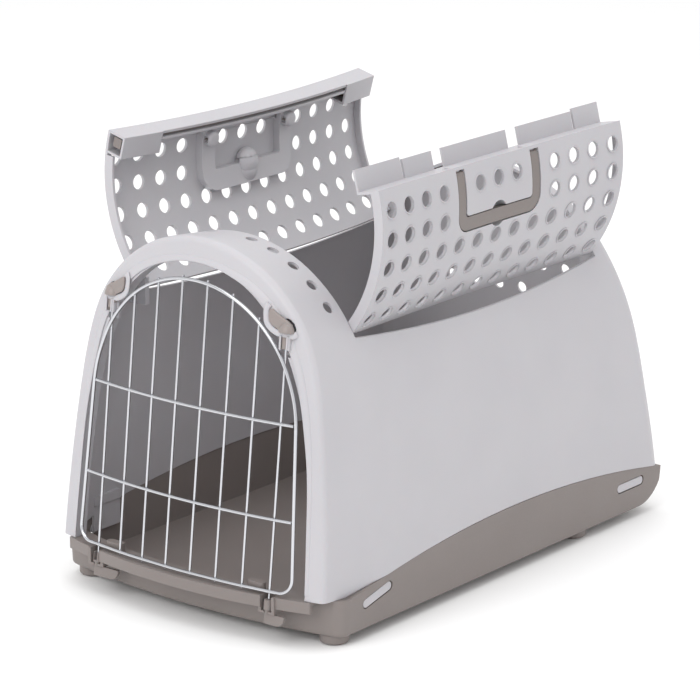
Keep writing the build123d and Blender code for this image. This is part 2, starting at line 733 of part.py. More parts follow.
def column(x0, x1, low, drop=2.0):
    """Upright strip of section from a height up into the strip under the skin."""
    top = vault_z + sqrt((vault_radius - lid_thickness - drop / 2) ** 2 - max(abs(x0), abs(x1)) ** 2)
    return polygon((x0, low), (x1, low), (x1, top), (x0, top))


slot_start = left_edge_x + rail_wall
slot_end = slot_start + rail_slot
rail_end_x = slot_end + rail_wall
with BuildPart() as closed_rail:
    add(saddle_sweep(under_skin(left_edge_x, rail_end_x, rail_wall)))
    add(saddle_sweep(column(left_edge_x, slot_start, rail_foot_z)))
    add(saddle_sweep(column(slot_end, rail_end_x, rail_foot_z)))
    add(slab(cover_front_end, cover_rear_start), mode=Mode.INTERSECT)
finish(opened(closed_rail.part, -1), "left_lid_rail")

cover_floor_z = cover_foot_z + cover_wall
for name, start, stop, hollow_start, hollow_stop in (
        ("left_lid_cover_front", lid_front_y, cover_front_end, lid_front_y - 5, cover_front_end + 5),
        ("left_lid_cover_rear", cover_rear_start, lid_rear_y, cover_rear_start - 5, lid_rear_y - cover_wall)):
    with BuildPart() as cover:
        add(saddle_sweep(under_skin(left_edge_x, cover_end_x, 6)))
        add(saddle_sweep(column(left_edge_x, cover_end_x, cover_foot_z)))
        add(slab(start, stop), mode=Mode.INTERSECT)
        inside = column(left_edge_x + cover_wall, cover_end_x - cover_wall, cover_floor_z, -20)
        add(saddle_sweep(inside) & slab(hollow_start, hollow_stop), mode=Mode.SUBTRACT)
    finish(opened(cover.part, -1), name)

bar_x = slot_start + bar_side_gap
bar_low_z = cover_floor_z + bar_floor_gap
bar_end_z = bar_low_z + bar_height + 1
with BuildPart() as lock_bar:
    strip = polygon((bar_x, bar_low_z + 1), (bar_x + bar_thickness, bar_low_z + 1),
                    (bar_x + bar_thickness, bar_low_z + bar_height), (bar_x, bar_low_z + bar_height))
    add(saddle_sweep(strip) & slab(lid_front_y, cover_rear_start + 24))
    block = polygon((bar_x, bar_low_z), (bar_x + bar_end_width, bar_low_z),
                    (bar_x + bar_end_width, bar_end_z), (bar_x, bar_end_z))
    add(saddle_sweep(block) & (slab(lid_front_y, cover_front_end - bar_travel - 3)
                               + slab(cover_rear_start + 3, cover_rear_start + 30)))
finish(opened(lock_bar.part, -1), "lock_bar")


def arch_height(x):
    """Height of the door frame's arch above x."""
    return frame_arch_z + sqrt(frame_arch_radius ** 2 - x * x)


def on_front(x, z):
    return (x, front_surface(x, z) - frame_forward, z)


def frame_path():
    """Closed path of the door's frame: arch, straight sides, rounded corners and bowed foot."""
    step = 180 / arch_corners
    reach = frame_arch_radius / cos(radians(step / 2))
    arch = [(reach * cos(radians(step * (i + 0.5))), frame_arch_z + reach * sin(radians(step * (i + 0.5))))
            for i in range(arch_corners)]
    foot = [(x, frame_low_z) for x in (-frame_low_half, -frame_low_half / 2, 0, frame_low_half / 2, frame_low_half)]
    radii = [0.94 * frame_arch_radius] * arch_corners
    radii += [frame_corner_radius, 300, 300, 300, frame_corner_radius]
    with BuildLine() as path:
        FilletPolyline(*[on_front(x, z) for x, z in arch + foot], radius=radii, close=True)
    return path.line


with BuildPart() as door_frame_wire:
    loop = frame_path()
    with BuildSketch(Plane(origin=loop @ 0, z_dir=loop % 0)):
        Circle(frame_wire_radius)
    sweep(path=loop)
finish(door_frame_wire.part, "door_frame_wire")

for name, z in (("door_lower_crossbar", lower_bar_z), ("door_upper_crossbar", upper_bar_z)):
    if z > frame_arch_z:
        half = sqrt(frame_arch_radius ** 2 - (z - frame_arch_z) ** 2)
    else:
        half = frame_low_half + (frame_arch_radius - frame_low_half) * (z - frame_low_z) / (frame_arch_z - frame_low_z)
    half -= frame_wire_radius - weld
    with BuildPart() as crossbar:
        with BuildLine() as bow:
            ThreePointArc(*[(x, front_surface(x, z) - bar_forward, z) for x in (-half, 0, half)])
        with BuildSketch(Plane(origin=bow.line @ 0, z_dir=bow.line % 0)):
            Circle(bar_radius)
        sweep(path=bow.line)
    finish(crossbar.part, name)

for i in range(wire_count):
    x = (i - (wire_count - 1) / 2) * pitch
    low, high = frame_low_z - upright_overrun, arch_height(x) + upright_overrun
    if i in (0, wire_count - 1):
        low, high = lower_pin_z, upper_pin_z
    with BuildPart(pin_plane(x, low)) as upright:
        Cylinder(upright_radius, (high - low) / cos(radians(lean)), align=(Align.CENTER, Align.CENTER, Align.MIN))
    finish(upright.part, "door_upright_" + str(i + 1))

# Latches: the right pair closes round the door's hinge pins, the left pair has mouths that face forward
hub_bore = upright_radius + hub_bore_gap
mouth_width = 2 * hub_bore + 0.8
lower_hub_z = sill_top - lip_height - notch_drop + notch_floor + hub_floor_gap


def hub(height, bore_depth, mouth):
    """Latch hub along local Z, with the bore that takes the door's pin from one end."""
    with BuildPart() as body:
        Cylinder(hub_radius, height, align=(Align.CENTER, Align.CENTER, Align.MIN))
        Cylinder(hub_bore, bore_depth, align=(Align.CENTER, Align.CENTER, Align.MIN), mode=Mode.SUBTRACT)
        if mouth:
            with Locations((0, -hub_radius, 0)):
                Box(mouth_width, 2 * hub_radius, bore_depth, align=(Align.CENTER, Align.CENTER, Align.MIN),
                    mode=Mode.SUBTRACT)
    return body.part


def upper_latch(side):
    """Hub on the door's upper pin, with a teardrop lever that lies against the frame."""
    with BuildPart() as latch:
        add(hub(upper_hub_height, upper_pin_z - upper_hub_z + hub_end_gap, side < 0))
        with BuildSketch(Plane.XZ.offset(lever_back)):
            with Locations((0, upper_hub_height - lever_root_radius)):
                Circle(lever_root_radius)
            with Locations((-side * (upper_lever_x - lever_tip_radius), upper_lever_z - lever_tip_radius)):
                Circle(lever_tip_radius)
            make_hull()
        extrude(amount=latch_plate)
    bow_turn = Location((0, 0, 0), (0, 0, degrees(asin(side * pin_x / bow_radius))))
    return pin_plane(side * pin_x, upper_hub_z).location * bow_turn * latch.part


def lower_latch(side):
    """Hub in the sill's notch, with a stem through the notch's floor and a quarter-round lever below."""
    reach = lower_lever_right if side > 0 else lower_lever_left
    stem = notch_floor + hub_floor_gap + hub_end_gap
    with BuildPart() as latch:
        add(hub(lower_hub_height, lower_hub_z + lower_hub_height - lower_pin_z + hub_end_gap, side < 0)
            .mirror(Plane.XY).moved(Location((0, 0, lower_hub_height))))
        Cylinder(stem_radius, stem, align=(Align.CENTER, Align.CENTER, Align.MAX))
        with BuildSketch(Plane.XZ.offset(-latch_plate / 2)) as plate:
            with Locations(((reach - stem_radius) / 2, -stem - lower_lever_drop / 2)):
                Rectangle(reach + stem_radius, lower_lever_drop)
            fillet(plate.vertices().sort_by(Axis.Y)[:2].sort_by(Axis.X)[-1], lower_lever_drop - 1)
        extrude(amount=latch_plate)
    return pin_plane(side * pin_x, lower_hub_z).location * latch.part


for side, name in ((-1, "left"), (1, "right")):
    finish(upper_latch(side), "upper_latch_" + name)
    finish(lower_latch(side), "lower_latch_" + name)
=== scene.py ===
# %% [markdown]
# # A pet carrier, finished in Blender
# The carrier is moulded from polypropylene in two colours, a light grey and a taupe, and has a door of
# chromed steel wire. Its shapes come from the CAD frame. This lesson gives each piece the finish of the
# real one, adds the small moulded details, and sets up the studio.

# %% Load the frame
import bpy
from math import radians, sin, cos, tan, atan2, sqrt
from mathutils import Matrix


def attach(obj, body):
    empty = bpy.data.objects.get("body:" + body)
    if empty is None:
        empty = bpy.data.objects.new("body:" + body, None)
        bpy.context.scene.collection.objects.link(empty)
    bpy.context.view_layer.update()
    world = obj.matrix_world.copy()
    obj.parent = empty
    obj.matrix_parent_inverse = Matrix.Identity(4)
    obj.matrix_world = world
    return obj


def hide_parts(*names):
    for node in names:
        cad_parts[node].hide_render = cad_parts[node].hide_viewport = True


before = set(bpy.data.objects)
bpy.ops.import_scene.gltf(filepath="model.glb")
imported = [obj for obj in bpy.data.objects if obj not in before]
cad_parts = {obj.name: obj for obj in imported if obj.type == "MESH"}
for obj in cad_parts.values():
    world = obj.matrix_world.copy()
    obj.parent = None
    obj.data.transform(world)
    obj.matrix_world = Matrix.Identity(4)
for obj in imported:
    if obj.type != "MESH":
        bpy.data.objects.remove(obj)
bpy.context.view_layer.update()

# %% [markdown]
# Lengths in this lesson are thought of in millimetres and given to Blender in metres. A colour is written
# as the hex value that a paint program shows, which is sRGB, while a shader wants linear light, so one
# function turns the one into the other.

# %% Units and colours
mm = 0.001


def linear(hex_colour):
    """An sRGB hex colour as the four linear numbers of a colour socket."""
    channels = [int(hex_colour[i:i + 2], 16) / 255 for i in (1, 3, 5)]
    return [c / 12.92 if c <= 0.04045 else ((c + 0.055) / 1.055) ** 2.4 for c in channels] + [1.0]


print("Mid grey in linear light:", [round(v, 3) for v in linear("#808080")])

# %% [markdown]
# Every finish is a small graph of nodes. Adding a node, setting it and wiring it up is one thought, so it
# is one function here: settings are the node's own properties, values go to its sockets, and a value that
# is another node's socket becomes a link.

# %% One function for nodes


def add_node(material, kind, inputs=None, **settings):
    """Adds a node to a material, with its settings, and its inputs as numbers or as links."""
    node = material.node_tree.nodes.new(kind)
    for name, value in settings.items():
        setattr(node, name, value)
    for name, value in (inputs or {}).items():
        if isinstance(value, bpy.types.NodeSocket):
            material.node_tree.links.new(value, node.inputs[name])
        else:
            node.inputs[name].default_value = value
    return node


def new_material(name):
    """An empty material with its output node."""
    material = bpy.data.materials.new(name)
    material.use_nodes = True
    material.node_tree.nodes.clear()
    add_node(material, "ShaderNodeOutputMaterial", name="Output")
    return material


def surface(material, shader):
    """Wires a shader to the material's output."""
    output = material.node_tree.nodes["Output"]
    material.node_tree.links.new(shader.outputs[0], output.inputs["Surface"])


print("Helpers ready")

# %% [markdown]
# Injection-moulded polypropylene isn't painted. Its colour is in the plastic, with a faint unevenness from
# the flow of the melt, and the mould leaves a fine spark-eroded grain that spreads the gloss. Such a grain
# is taken as about 0.2 mm, which is finer than a pixel here, so it is drawn at about 1.2 mm to show.
# A soft edge of half a millimetre catches the light as a moulded edge does.

# %% Moulded polypropylene


def moulded_polypropylene(name, colour, flow_colour, roughness,
                          grain_mm=1.2, grain_height=0.02, edge_mm=0.5):
    """Polypropylene with melt-flow unevenness, a spark-eroded grain and softened edges."""
    material = new_material(name)
    place = add_node(material, "ShaderNodeTexCoord")
    flow = add_node(material, "ShaderNodeTexNoise", {"Vector": place.outputs["Object"],
                                                    "Scale": 1 / (70 * mm),
                                                    "Detail": 3.0, "Roughness": 0.55})
    grain = add_node(material, "ShaderNodeTexNoise", {"Vector": place.outputs["Object"],
                                                     "Scale": 1 / (grain_mm * mm), "Detail": 2.0})
    tint = add_node(material, "ShaderNodeMix", data_type="RGBA")
    tint.inputs[6].default_value, tint.inputs[7].default_value = linear(colour), linear(flow_colour)
    blend = add_node(material, "ShaderNodeMapRange", {"Value": flow.outputs["Fac"], "From Min": 0.35,
                                                     "From Max": 0.7, "To Max": 0.35})
    material.node_tree.links.new(blend.outputs[0], tint.inputs[0])
    gloss = add_node(material, "ShaderNodeMapRange", {"Value": grain.outputs["Fac"], "From Min": 0.3,
                                                     "From Max": 0.7, "To Min": roughness - 0.05,
                                                     "To Max": roughness + 0.07})
    edge = add_node(material, "ShaderNodeBevel", {"Radius": edge_mm * mm}, samples=4)
    bump = add_node(material, "ShaderNodeBump", {"Height": grain.outputs["Fac"], "Strength": 0.25,
                                                "Distance": grain_height * mm, "Normal": edge.outputs[0]})
    plastic = add_node(material, "ShaderNodeBsdfPrincipled", {
        "Base Color": tint.outputs[2], "Roughness": gloss.outputs[0], "Normal": bump.outputs[0],
        "IOR": 1.49, "Subsurface Weight": 0.06, "Subsurface Scale": 2 * mm})
    surface(material, plastic)
    return material


shell_grey = moulded_polypropylene("moulded_polypropylene_light_grey", "#bab8bc", "#b2b0b5", 0.42)
tray_taupe = moulded_polypropylene("moulded_polypropylene_taupe", "#817976", "#78706d", 0.46)
handle_taupe = moulded_polypropylene("moulded_polypropylene_handle_taupe", "#7e7673", "#756d6a", 0.4)
latch_grey = moulded_polypropylene("moulded_acetal_latch_grey", "#8f8683", "#867d7a", 0.34)
print("Plastics:", [m.name for m in (shell_grey, tray_taupe, handle_taupe, latch_grey)])

# %% [markdown]
# The door is steel wire, welded at its crossings and then chromed. Chrome is a metal, so its colour tints
# the reflection. The plating follows the drawn wire, with faint marks along it that break the reflection.

# %% Chromed steel wire
chromed_wire = new_material("chrome_plated_steel_wire")
where = add_node(chromed_wire, "ShaderNodeTexCoord")
marks = add_node(chromed_wire, "ShaderNodeTexNoise", {"Vector": where.outputs["Object"],
                                                      "Scale": 1 / (2.5 * mm), "Detail": 3.0})
haze = add_node(chromed_wire, "ShaderNodeMapRange", {"Value": marks.outputs["Fac"], "From Min": 0.3,
                                                     "From Max": 0.75, "To Min": 0.06, "To Max": 0.18})
pits = add_node(chromed_wire, "ShaderNodeBump", {"Height": marks.outputs["Fac"], "Strength": 0.2,
                                                 "Distance": 0.03 * mm})
surface(chromed_wire, add_node(chromed_wire, "ShaderNodeBsdfPrincipled", {
    "Base Color": linear("#cccdd1"), "Metallic": 1.0, "Roughness": haze.outputs[0],
    "Normal": pits.outputs[0]}))
print("Metal:", chromed_wire.name)

# %% [markdown]
# The frame says which slot of the record each node takes its finish from. The real material goes into
# each node's own material slot, and the mesh isn't touched.

# %% Finishes on the frame's nodes
finish_of_slot = {"shell_plastic": shell_grey, "tray_plastic": tray_taupe, "handle_plastic": handle_taupe,
                  "latch_plastic": latch_grey, "door_wire": chromed_wire}
for name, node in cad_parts.items():
    slot_name = node.material_slots[0].material.name.split(".")[0]
    for slot in node.material_slots:
        slot.material = tray_taupe if name.startswith("lower_latch") else finish_of_slot[slot_name]
print("Nodes with a finish:", len(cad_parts))

# %% [markdown]
# The front of the carrier is bowed in plan and leans back. Every detail that sits on it needs the same
# surface, so the numbers of the bow and the lean are written once here. A latch and its pocket are
# modelled for the right-hand pin in a frame of their own, where X is across, -Y is forward and Z runs up
# along the pin, and are then set on the pin, or mirrored to the left one.

# %% The front surface and the upper pins
from mathutils import Matrix, Vector

bow_radius, front_y, front_z, lean = 671.0, -246.0, 44.5, radians(6.43)
pin_x, pin_z = 94.5, 250.0


def front_surface(x, z):
    """Y of the carrier's front at a place, in millimetres."""
    return front_y + bow_radius - sqrt(bow_radius ** 2 - x * x) + (z - front_z) * tan(lean)


def on_the_pin(side):
    """Turns the frame of a right-hand latch into the place of the pin on a side."""
    place = Matrix.Translation(Vector((pin_x, front_surface(pin_x, pin_z), pin_z)) * mm)
    turn = Matrix.Rotation(-lean, 4, "X") @ Matrix.Rotation(atan2(pin_x, bow_radius), 4, "Z")
    return Matrix.Diagonal((side, 1, 1, 1)) @ place @ turn


def begin():
    """Leaves edit mode and deselects everything, so that an operator meets only what is made next."""
    if bpy.context.object and bpy.context.object.mode != "OBJECT":
        bpy.ops.object.mode_set(mode="OBJECT")
    bpy.ops.object.select_all(action="DESELECT")


def take(pieces):
    """Selects these pieces alone, and makes the first one active."""
    begin()
    for piece in pieces:
        piece.select_set(True)
    bpy.context.view_layer.objects.active = pieces[0]


def soften(piece, width, segments=3, angle=None):
    """Rounds the sharp edges of the active piece by a width in millimetres."""
    bevel = piece.modifiers.new("soft_edges", "BEVEL")
    bevel.width, bevel.segments, bevel.limit_method = width * mm, segments, "ANGLE"
    if angle is not None:
        bevel.angle_limit = radians(angle)
    bpy.ops.object.modifier_apply(modifier=bevel.name)


def merged_copy(node):
    """A copy of a node of the frame, with its loose triangles merged, selected and active."""
    copy = node.copy()
    copy.data = node.data.copy()
    bpy.context.collection.objects.link(copy)
    for modifier in list(copy.modifiers):
        copy.modifiers.remove(modifier)
    copy.parent = None
    take([copy])
    bpy.ops.object.mode_set(mode="EDIT")
    bpy.ops.mesh.select_all(action="SELECT")
    bpy.ops.mesh.remove_doubles(threshold=0.002 * mm)
    bpy.ops.object.mode_set(mode="OBJECT")
    return copy


def settle(piece, name, material, body, matrix=None, smooth=35):
    """Puts a piece's place into its mesh, turns its faces outward and hands it to its body."""
    take([piece])
    if matrix is not None:
        piece.matrix_world = matrix @ piece.matrix_world
    bpy.ops.object.transform_apply(location=True, rotation=True, scale=True)
    bpy.ops.object.mode_set(mode="EDIT")
    bpy.ops.mesh.select_all(action="SELECT")
    bpy.ops.mesh.remove_doubles(threshold=0.01 * mm)
    bpy.ops.mesh.normals_make_consistent(inside=False)
    bpy.ops.object.mode_set(mode="OBJECT")
    bpy.ops.object.shade_smooth_by_angle(angle=radians(smooth))
    piece.name = name
    piece.data.materials.clear()
    piece.data.materials.append(material)
    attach(piece, body)
    return piece


print("Front surface at the pin:", round(front_surface(pin_x, pin_z), 2), "mm")

# %% [markdown]
# A swept rim is a curve with a profile: the curve is the way that the rim runs, and the profile is its
# section. The profile here is a circle whose handles are lengthened, which makes a square with soft
# corners, and the radius at each point of the way widens or narrows it.

# %% A swept rim


def swept_rim(points, width, depth, radii=None):
    """A mesh swept along points in millimetres, with a soft rectangular section."""
    begin()
    bpy.ops.curve.primitive_bezier_circle_add(radius=1.0)
    section = bpy.context.active_object
    for knot in section.data.splines[0].bezier_points:
        knot.handle_left_type = knot.handle_right_type = "FREE"
        across = [width / 2 * mm, depth / 2 * mm, 0]
        centre = Vector([knot.co[i] * across[i] for i in range(3)])
        for handle in ("handle_left", "handle_right"):
            reach = (getattr(knot, handle) - knot.co) * 1.5
            setattr(knot, handle, centre + Vector([reach[i] * across[i] for i in range(3)]))
        knot.co = centre
    section.data.resolution_u = 4
    begin()
    bpy.ops.curve.primitive_bezier_curve_add()
    way = bpy.context.active_object
    spline = way.data.splines[0]
    spline.bezier_points.add(len(points) - 2)
    for i, (knot, point) in enumerate(zip(spline.bezier_points, points)):
        knot.co = Vector(point) * mm
        knot.handle_left_type = knot.handle_right_type = "AUTO"
        knot.radius = radii[i] if radii else 1.0
    way.data.resolution_u = 8
    way.data.bevel_mode = "OBJECT"
    way.data.bevel_object = section
    way.data.use_fill_caps = True
    way.data.twist_mode = "MINIMUM"
    bpy.ops.object.convert(target="MESH")
    rim = bpy.context.active_object
    bpy.data.objects.remove(section)
    return rim


print("Rims can be swept")

# %% [markdown]
# A flat band runs round the doorway of the real shell, a step forward of the rounded arch, and catches
# more light than the arch does. It is widest at the crown and gets narrower down the sides.

# %% The band round the doorway
half_way = [(128.6, 46, 0.4), (126.9, 90, 0.45), (124, 145, 0.55), (119.5, 180, 0.75), (114.4, 206, 0.85)]
crown_way = [(105.4, 236, 0.8), (92.5, 259, 0.95), (74, 280.5, 0.95), (41, 298.2, 0.75), (0, 305.0, 0.6)]
right_way = half_way + crown_way
whole_way = right_way + [(-x, z, r) for x, z, r in reversed(right_way[:-1])]
band = swept_rim([(x, front_surface(x, z) + 0.1, z) for x, z, r in whole_way], 9.5, 2.6,
                 [r for x, z, r in whole_way])
settle(band, "doorway_band", shell_grey, "carrier")
print("Band round the doorway:", len(band.data.polygons), "faces")

# %% [markdown]
# Each upper latch is a grey fin with a round cap over its hub. The hub and its bore have to stay as the
# CAD has them, because the door's pin turns there, so the latch starts as a merged copy of its node, cut
# off above the hub by a bisect. The fin is a flat polygon extruded to a plate, and the cap is a sphere
# flattened at its foot.

# %% Upper latches
fin_outline = [(-16.4, 25.0), (-15.2, 26.6), (-13.4, 26.4), (-5.4, 21.8), (1.5, 18.6), (5.4, 15.8),
               (6.8, 12.5), (6.9, 9.1), (-5.5, 9.1), (-7.5, 11.0), (-13.6, 13.9), (-15.6, 16.5),
               (-16.4, 20.0)]
fin_back, fin_thickness, hub_top = 0.8, 3.0, 5.05


def latch_fin():
    """The fin's plate, in front of the pin's plane."""
    begin()
    bpy.ops.mesh.primitive_circle_add(vertices=len(fin_outline), radius=mm, fill_type="NGON")
    fin = bpy.context.active_object
    for vertex, (x, z) in zip(fin.data.vertices, fin_outline):
        vertex.co = Vector((x, -fin_back, z)) * mm
    bpy.ops.object.mode_set(mode="EDIT")
    bpy.ops.mesh.select_all(action="SELECT")
    forward = (0, -fin_thickness * mm, 0)
    bpy.ops.mesh.extrude_region_move(TRANSFORM_OT_translate={"value": forward})
    bpy.ops.object.mode_set(mode="OBJECT")
    soften(fin, 0.7)
    return fin


def latch_cap():
    """The round cap: a sphere stretched sideways, cut flat at its foot and at its back."""
    begin()
    bpy.ops.mesh.primitive_uv_sphere_add(segments=32, ring_count=20, radius=1.0)
    cap = bpy.context.active_object
    cap.scale = Vector((7.1, 5.6, 8.2)) * mm
    cap.location = Vector((0.5, -1.6, 9.0)) * mm
    bpy.ops.object.transform_apply(location=True, rotation=True, scale=True)
    bpy.ops.object.mode_set(mode="EDIT")
    for point, normal in (((0, 0, 9.0), (0, 0, 1)), ((0, -0.8, 0), (0, -1, 0))):
        bpy.ops.mesh.select_all(action="SELECT")
        bpy.ops.mesh.bisect(plane_co=Vector(point) * mm, plane_no=normal, use_fill=True, clear_inner=True)
    bpy.ops.object.mode_set(mode="OBJECT")
    soften(cap, 0.5, angle=50)
    return cap


def latch_neck():
    """The neck between the hub and the cap, waisted where the pocket's shelf goes round it."""
    begin()
    bpy.ops.mesh.primitive_cylinder_add(vertices=24, radius=2.6 * mm, depth=4.6 * mm,
                                        location=(0, 0, 7.2 * mm))
    neck = bpy.context.active_object
    bpy.ops.object.mode_set(mode="EDIT")
    bpy.ops.mesh.select_all(action="SELECT")
    bpy.ops.mesh.bisect(plane_co=(0, 0, 7.2 * mm), plane_no=(0, 0, 1))
    bpy.ops.transform.resize(value=(0.85, 0.85, 1))
    bpy.ops.object.mode_set(mode="OBJECT")
    return neck


def hub_of(node_name, side):
    """A merged copy of a latch's node, cut off above its hub."""
    hub = merged_copy(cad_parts[node_name])
    bpy.ops.object.mode_set(mode="EDIT")
    bpy.ops.mesh.select_all(action="SELECT")
    top = on_the_pin(side) @ (Vector((0, 0, hub_top)) * mm)
    bpy.ops.mesh.bisect(plane_co=top, plane_no=(0, sin(lean), cos(lean)), use_fill=True, clear_outer=True)
    bpy.ops.object.mode_set(mode="OBJECT")
    return hub


for side, name in ((1, "right"), (-1, "left")):
    parts = [latch_fin(), latch_cap(), latch_neck()]
    for part in parts:
        part.matrix_world = on_the_pin(side) @ part.matrix_world
    hub = hub_of("upper_latch_" + name, side)
    take([hub] + parts)
    bpy.ops.object.transform_apply(location=True, rotation=True, scale=True)
    bpy.ops.object.join()
    latch = settle(hub, "upper_latch_" + name + "_finned", latch_grey,
                   "upper_latch_" + name)
    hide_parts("upper_latch_" + name)
    print(latch.name, len(latch.data.polygons), "faces")

# %% [markdown]
# The latch lies in a pocket of the shell. Its rim goes down beside the fin and forms a shelf under the
# cap, and two lips below the shelf leave only a narrow slot in front of the hub, wide enough for the
# door's pin.

# %% Pockets of the upper latches
shelf_way = [(-17.2, -1.6, 30.0), (-19.2, -1.9, 27.0), (-19.4, -2.0, 20.0), (-18.2, -2.1, 14.8),
             (-14.6, -2.2, 11.0), (-8.5, -2.3, 8.0), (-4.5, -2.4, 7.0), (0.0, -2.4, 6.8),
             (5.0, -2.2, 6.9), (8.0, -1.2, 7.4), (9.4, 0.4, 8.6)]


def slot_lip(x):
    """One lip of the slot in front of the hub: a bar with soft edges that leans back on the frame."""
    begin()
    bpy.ops.mesh.primitive_cube_add(size=1.0, location=Vector((x, -4.5, 0.6)) * mm)
    lip = bpy.context.active_object
    lip.scale = Vector((1.5, 1.4, 11.6)) * mm
    bpy.ops.object.transform_apply(location=True, rotation=True, scale=True)
    bpy.ops.object.mode_set(mode="EDIT")
    bpy.ops.mesh.select_mode(type="FACE")
    bpy.ops.mesh.select_all(action="DESELECT")
    bpy.ops.object.mode_set(mode="OBJECT")
    for face in lip.data.polygons:
        face.select = face.normal.y > 0.9
    bpy.ops.object.mode_set(mode="EDIT")
    outward = 1.0 if x > 0 else -1.0
    bpy.ops.mesh.extrude_region_move(TRANSFORM_OT_translate={"value": (outward * mm, 0, 0)})
    bpy.ops.mesh.extrude_region_move(TRANSFORM_OT_translate={"value": (0.3 * outward * mm, 4.0 * mm, 0)})
    bpy.ops.object.mode_set(mode="OBJECT")
    soften(lip, 0.45)
    return lip


for side, name in ((1, "right"), (-1, "left")):
    parts = [swept_rim(shelf_way, 2.1, 5.2), slot_lip(-3.2), slot_lip(3.2)]
    take(parts)
    bpy.ops.object.join()
    pocket = settle(parts[0], "latch_pocket_" + name, shell_grey, "carrier",
                    on_the_pin(side))
    print(pocket.name, len(pocket.data.polygons), "faces")

# %% [markdown]
# When a latch is turned, the outer half of its cap swings back into the frame, so the frame has a round
# room for it. The room is a profile spun round the pin, taken out of the shell by a boolean, and a cup of
# the same profile, a little larger, closes it behind.

# %% Rooms for the caps
room_profile = [(0, 8.7), (8.3, 8.7), (8.3, 12.8), (6.4, 16.8), (2.2, 19.8), (0, 20.2)]


def spun_room(grow):
    """The room's profile, grown outward in millimetres and spun round the pin."""
    begin()
    bpy.ops.mesh.primitive_circle_add(vertices=len(room_profile), radius=mm, fill_type="NGON")
    room = bpy.context.active_object
    for vertex, (reach, z) in zip(room.data.vertices, room_profile):
        vertex.co = Vector((reach + (grow if reach else 0), 0, z + (grow if z > 9 else -grow))) * mm
    bpy.ops.object.mode_set(mode="EDIT")
    bpy.ops.mesh.select_all(action="SELECT")
    bpy.ops.mesh.delete(type="ONLY_FACE")
    bpy.ops.mesh.select_all(action="SELECT")
    bpy.ops.mesh.spin(steps=40, angle=radians(360), center=(0, 0, 0), axis=(0, 0, 1))
    bpy.ops.mesh.select_all(action="SELECT")
    bpy.ops.mesh.remove_doubles(threshold=0.01 * mm)
    bpy.ops.mesh.delete_loose()
    bpy.ops.mesh.select_all(action="SELECT")
    bpy.ops.mesh.normals_make_consistent(inside=False)
    bpy.ops.object.mode_set(mode="OBJECT")
    return room


def cut(piece, cutter):
    """Takes one solid out of another, and removes the cutter."""
    take([piece])
    boolean = piece.modifiers.new("room", "BOOLEAN")
    boolean.operation, boolean.solver, boolean.object = "DIFFERENCE", "EXACT", cutter
    bpy.ops.object.modifier_apply(modifier=boolean.name)
    bpy.data.objects.remove(cutter)


for side, name in ((1, "right"), (-1, "left")):
    cup = spun_room(1.3)
    cut(cup, spun_room(0.0))
    bpy.ops.object.mode_set(mode="EDIT")
    bpy.ops.mesh.select_all(action="SELECT")
    bpy.ops.mesh.bisect(plane_co=(0, 0.6 * mm, 0), plane_no=(0, 1, 0), use_fill=True, clear_inner=True)
    bpy.ops.object.mode_set(mode="OBJECT")
    settle(cup, "latch_cup_" + name, shell_grey, "carrier", on_the_pin(side))
    print(cup.name, len(cup.data.polygons), "faces")

# %% [markdown]
# The shell's front tabs are rooted in blocks that stand a little out of the tapering side wall. The real
# wall is smooth there, so the shell is copied and the blocks' outer corners are laid on the wall.

# %% A smooth side wall
wall_at, wall_flare, wall_taper = (150.0, -190, 54), 0.157, 0.032
block_front, block_rear, block_foot, block_head = -190, -160, 51, 61.5
shell = merged_copy(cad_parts["upper_shell"])
moved = 0
for vertex in shell.data.vertices:
    x, y, z = vertex.co / mm
    wall_x = wall_at[0] + wall_flare * (y - wall_at[1]) - wall_taper * (z - wall_at[2])
    on_the_block = block_front < y < block_rear and block_foot < z < block_head
    if on_the_block and abs(x) > wall_x + 0.05:
        vertex.co.x = (wall_x + 0.02) * mm * (1 if x > 0 else -1)
        moved += 1
for side in (1, -1):
    room = spun_room(0.0)
    room.matrix_world = on_the_pin(side)
    cut(shell, room)
take([shell])
bpy.ops.object.mode_set(mode="EDIT")
bpy.ops.mesh.select_all(action="SELECT")
bpy.ops.mesh.dissolve_degenerate(threshold=0.005 * mm)
bpy.ops.object.mode_set(mode="OBJECT")
bpy.ops.mesh.customdata_custom_splitnormals_clear()
bpy.ops.object.shade_smooth_by_angle(angle=radians(24))
even = shell.modifiers.new("even_shading", "WEIGHTED_NORMAL")
even.keep_sharp, even.weight = True, 90
bpy.ops.object.modifier_apply(modifier=even.name)
shell.name = "upper_shell_smooth_sided"
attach(shell, "carrier")
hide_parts("upper_shell")
print("Corners laid on the wall:", moved)

# %% [markdown]
# Each lid is a piece of the vault, an arc across the carrier whose roof line dips in the middle of the
# length, and it stands open at rest. Details on a lid are placed by the arc from the roof's crest, the
# place along the length and the depth below the skin. One function follows that skin, and a second one
# builds a small frame on it, with X to the rear, Y down the arc and Z inward.

# %% The lids' skin
vault_radius, vault_z, axis_x = 139.0, 178.0, 115.0
roof_half_width, hinge_sink = 118.0, 0.5
axis_z = vault_z + sqrt(vault_radius ** 2 - roof_half_width ** 2) - hinge_sink
lid_middle_y, lid_half_length, dip, low_crest_z = 11.5, 171.5, 10.0, 307.0
saddle_radius = (lid_half_length ** 2 + dip ** 2) / (2 * dip)
saddle_z = low_crest_z + saddle_radius
lid_side = {"right_lid": 1, "left_lid": -1}
lid_open = {"right_lid": radians(72), "left_lid": radians(75)}


